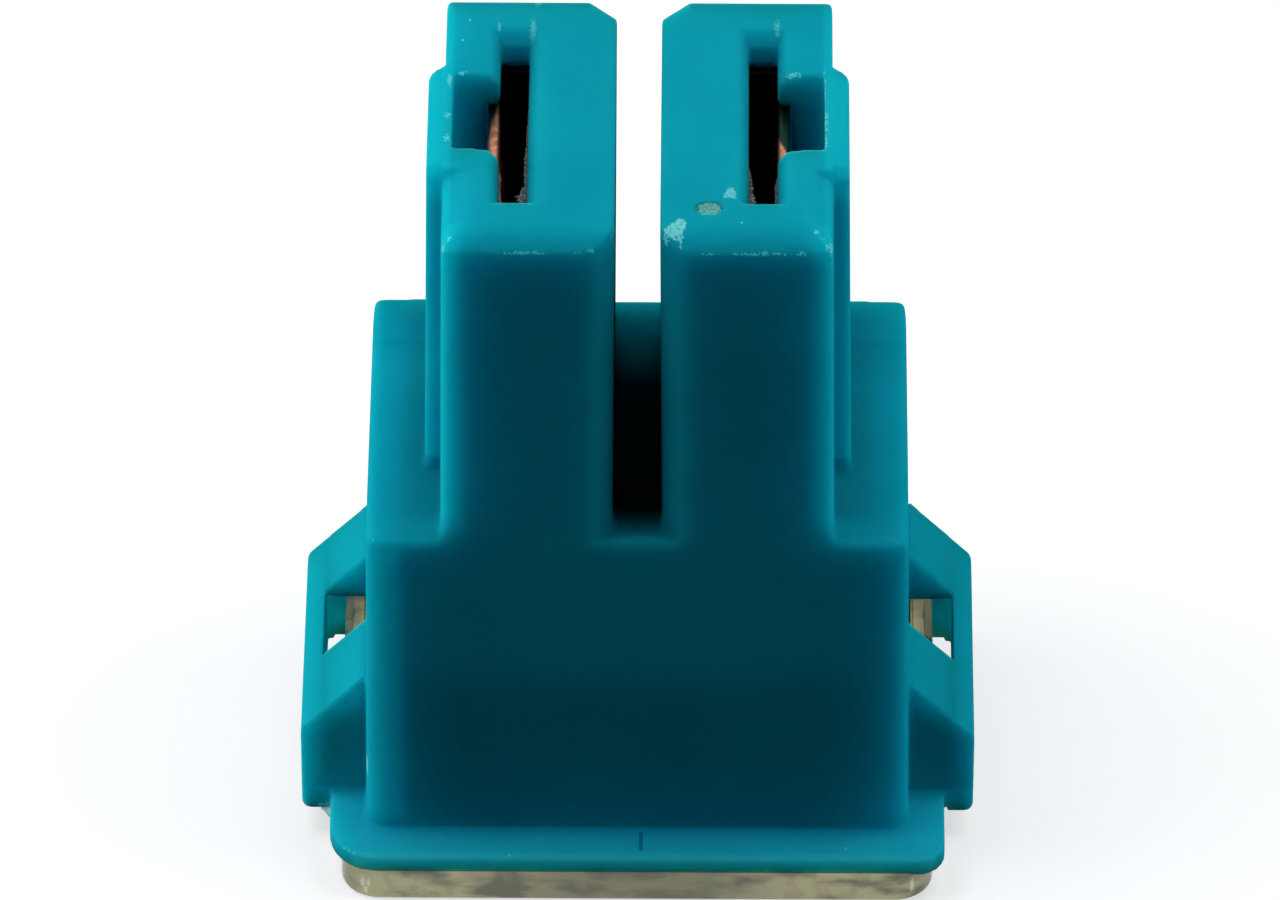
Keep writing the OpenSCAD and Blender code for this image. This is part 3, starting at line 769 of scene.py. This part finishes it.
def melt_outside(obj):
    """Round the outer edges below the tips, and most of all the upright ones."""
    x, y, z = corners_of(obj).T
    x = numpy.abs(x)
    below = (z < TIP_Z - TIP_DEPTH) & (x < LOOP_X)
    smooth(obj, ROUND_STEPS, "round", group(obj, "round", below))
    z = z / MM
    upright = numpy.zeros(len(z))
    for edge in UPRIGHT:
        low, high = edge["z"]
        side = edge["x"] * MM - numpy.sin(numpy.radians(edge["draft"])) * (z - low) * MM
        near = numpy.abs(x - side) < EDGE_REACH
        near &= (y < -edge["front"] * MM) | (y > edge["back"] * MM)
        fade = fade_in(numpy.minimum(z - low, high - z), 0, EDGE_FADE)
        upright = numpy.maximum(upright, near * fade)
    smooth(obj, EDGE_STEPS, "upright", group(obj, "upright", upright))
    apply_modifiers(obj)


def press_gate(obj):
    """Sink the oval mark where the moulding was cut from its runner."""
    places = corners_of(obj)
    x, y, z = places.T
    reach = numpy.hypot((x - GATE.x) / GATE_R.x, (y - GATE.y) / GATE_R.y)
    inside = (reach < 1) & (z > TIP_Z - FACE_DEPTH)
    tilt = 0.5 - 0.5 * (y - GATE.y) / GATE_R.y
    z[inside] -= (GATE_DEPTH * (GATE_LEAST + tilt))[inside]
    move_corners(obj, places)


def press_tick(obj):
    """Deepen the index line on the flange's top."""
    places = corners_of(obj)
    x, y, z = places.T
    across = numpy.abs(x - TICK.x) / TICK_HALF_W
    line = numpy.clip(1 - across, 0, 1) * ((y < TICK.y) & (y > TICK.y - TICK_L))
    near = (z > TICK.z - FACE_DEPTH) & (z < TICK.z + FACE_DEPTH)
    z[near] -= (TICK_DEPTH * line)[near]
    move_corners(obj, places)


def softened(node, name, material):
    """A softened copy of a CAD node that stands for it."""
    piece = welded_copy(node, name)
    remesh(piece)
    dress(piece, material)
    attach(piece, "root")
    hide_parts(node)
    return piece


def make_housing():
    housing = softened("housing", "housing_moulding", teal_plastic())
    drop_feet(housing)
    melt_outside(housing)
    lift_loops(housing)
    melt_lead_ins(housing)
    press_gate(housing)
    press_tick(housing)
    thin(housing, TRIANGLES["housing"])


def make_cover():
    cover = softened("clear_cover", "cover_moulding", clear_amber())
    thin(cover, TRIANGLES["clear_cover"])


def make_element():
    element = softened("fuse_element", "element_stamping", copper_alloy())
    thin(element, TRIANGLES["fuse_element"])


def make_slug():
    slug = softened("tin_slug", "tin_bead", tin())
    thin(slug, TRIANGLES["tin_slug"])


# ---------------------------------------------------------------- small marks

def prism(name, outline, low, high, flat):
    """A closed solid: an outline from low to high along the flat axis, in millimetres."""
    mesh = bmesh.new()
    rings = []
    for level in (low, high):
        ring = []
        for first, second in outline:
            place = [first, second]
            place.insert(flat, level)
            ring.append(mesh.verts.new(Vector(place) * MM))
        rings.append(ring)
    count = len(outline)
    for ring in rings:
        mesh.faces.new(ring)
    for i in range(count):
        j = (i + 1) % count
        mesh.faces.new((rings[0][i], rings[0][j], rings[1][j], rings[1][i]))
    bmesh.ops.recalc_face_normals(mesh, faces=mesh.faces)
    data = bpy.data.meshes.new(name)
    mesh.to_mesh(data)
    mesh.free()
    return link(bpy.data.objects.new(name, data))


def add_mark(piece, material):
    dress(piece, material)
    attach(piece, "root")


def make_torn_skins():
    """Ragged skins hanging from the slots' rims, each a thin solid."""
    material = torn_skin()
    noise = numpy.random.default_rng(SKIN_SEED)
    for name, skin in SKINS.items():
        free, root = [], []
        marks = numpy.array(skin["run"])
        for y in numpy.arange(marks[0, 0], marks[-1, 0], -SKIN_STEP):
            width = numpy.interp(-y, -marks[:, 0], marks[:, 1])
            width *= 1 + SKIN_ROUGH * noise.uniform(-1, 1)
            free.append((skin["rim"] + skin["grow"] * width, y))
            root.append((skin["rim"] - skin["grow"] * SKIN_ROOT, y))
        piece = prism(name, free + root[::-1], SKIN_Z, SKIN_Z + SKIN_THICK, 2)
        add_mark(piece, material)


def make_flash():
    """The film of flash that bridges the left loop's foot and the flange, and its rim."""
    material = thin_flash()
    add_mark(prism("flash_film", FLASH, FLASH_Y, FLASH_Y + FLASH_THICK, 1), material)
    add_mark(prism("flash_rim", FLASH_RIM, FLASH_Y - FLASH_RIM_THICK, FLASH_Y, 1), material)


# ---------------------------------------------------------------- the studio

def seen_directly(tree):
    """1 for what the camera sees, straight or in glass and metal."""
    path = tree.nodes.new("ShaderNodeLightPath")
    seen = path.outputs["Is Camera Ray"]
    for other in ("Is Glossy Ray", "Is Transmission Ray"):
        either = tree.nodes.new("ShaderNodeMath")
        either.operation = "MAXIMUM"
        tree.links.new(seen, either.inputs[0])
        tree.links.new(path.outputs[other], either.inputs[1])
        seen = either.outputs[0]
    return seen


def pale_material(name):
    """Plain white to the camera and in glass and metal, dim to the light that bounces."""
    material = bpy.data.materials.new(name)
    material.use_nodes = True
    tree = material.node_tree
    tree.nodes.clear()
    seen = seen_directly(tree)
    dim = tree.nodes.new("ShaderNodeBsdfDiffuse")
    dim.inputs["Color"].default_value = FLOOR_DIM
    pale = tree.nodes.new("ShaderNodeBsdfDiffuse")
    pale.inputs["Color"].default_value = FLOOR_PALE
    glow = tree.nodes.new("ShaderNodeEmission")
    glow.inputs["Strength"].default_value = FLOOR_GLOW
    white = tree.nodes.new("ShaderNodeAddShader")
    tree.links.new(pale.outputs[0], white.inputs[0])
    tree.links.new(glow.outputs[0], white.inputs[1])
    mix = tree.nodes.new("ShaderNodeMixShader")
    tree.links.new(seen, mix.inputs["Fac"])
    tree.links.new(dim.outputs[0], mix.inputs[1])
    tree.links.new(white.outputs[0], mix.inputs[2])
    out = tree.nodes.new("ShaderNodeOutputMaterial")
    tree.links.new(mix.outputs[0], out.inputs["Surface"])
    return material


def make_floor():
    data = bpy.data.meshes.new("floor")
    half = FLOOR_SIZE / 2
    data.from_pydata([(-half, -half, 0), (half, -half, 0), (half, half, 0), (-half, half, 0)],
                     [], [(0, 1, 2, 3)])
    floor = link(bpy.data.objects.new("floor", data))
    data.materials.append(pale_material("floor_white"))


def make_lights():
    for name, light in LIGHTS.items():
        data = bpy.data.lights.new(name, "AREA")
        data.size = LIGHT_SIZE
        data.energy = light["power"]
        data.color = light.get("colour", (1, 1, 1))
        lamp = link(bpy.data.objects.new(name, data))
        azimuth, elevation = math.radians(light["azimuth"]), math.radians(light["elevation"])
        aim(lamp, azimuth, elevation, LIGHT_DISTANCE)


def make_world():
    world = bpy.data.worlds.new("world")
    bpy.context.scene.world = world
    world.use_nodes = True
    tree = world.node_tree
    seen = seen_directly(tree)
    level = tree.nodes.new("ShaderNodeMapRange")
    level.inputs["To Min"].default_value = FILL_STRENGTH
    level.inputs["To Max"].default_value = 1.0
    tree.links.new(seen, level.inputs["Value"])
    tree.links.new(level.outputs[0], tree.nodes["Background"].inputs["Strength"])
    tree.nodes["Background"].inputs["Color"].default_value = (1, 1, 1, 1)
    bpy.context.scene.view_settings.view_transform = "Standard"


make_camera()
make_housing()
make_cover()
make_element()
make_slug()
make_torn_skins()
make_flash()
make_floor()
make_lights()
make_world()
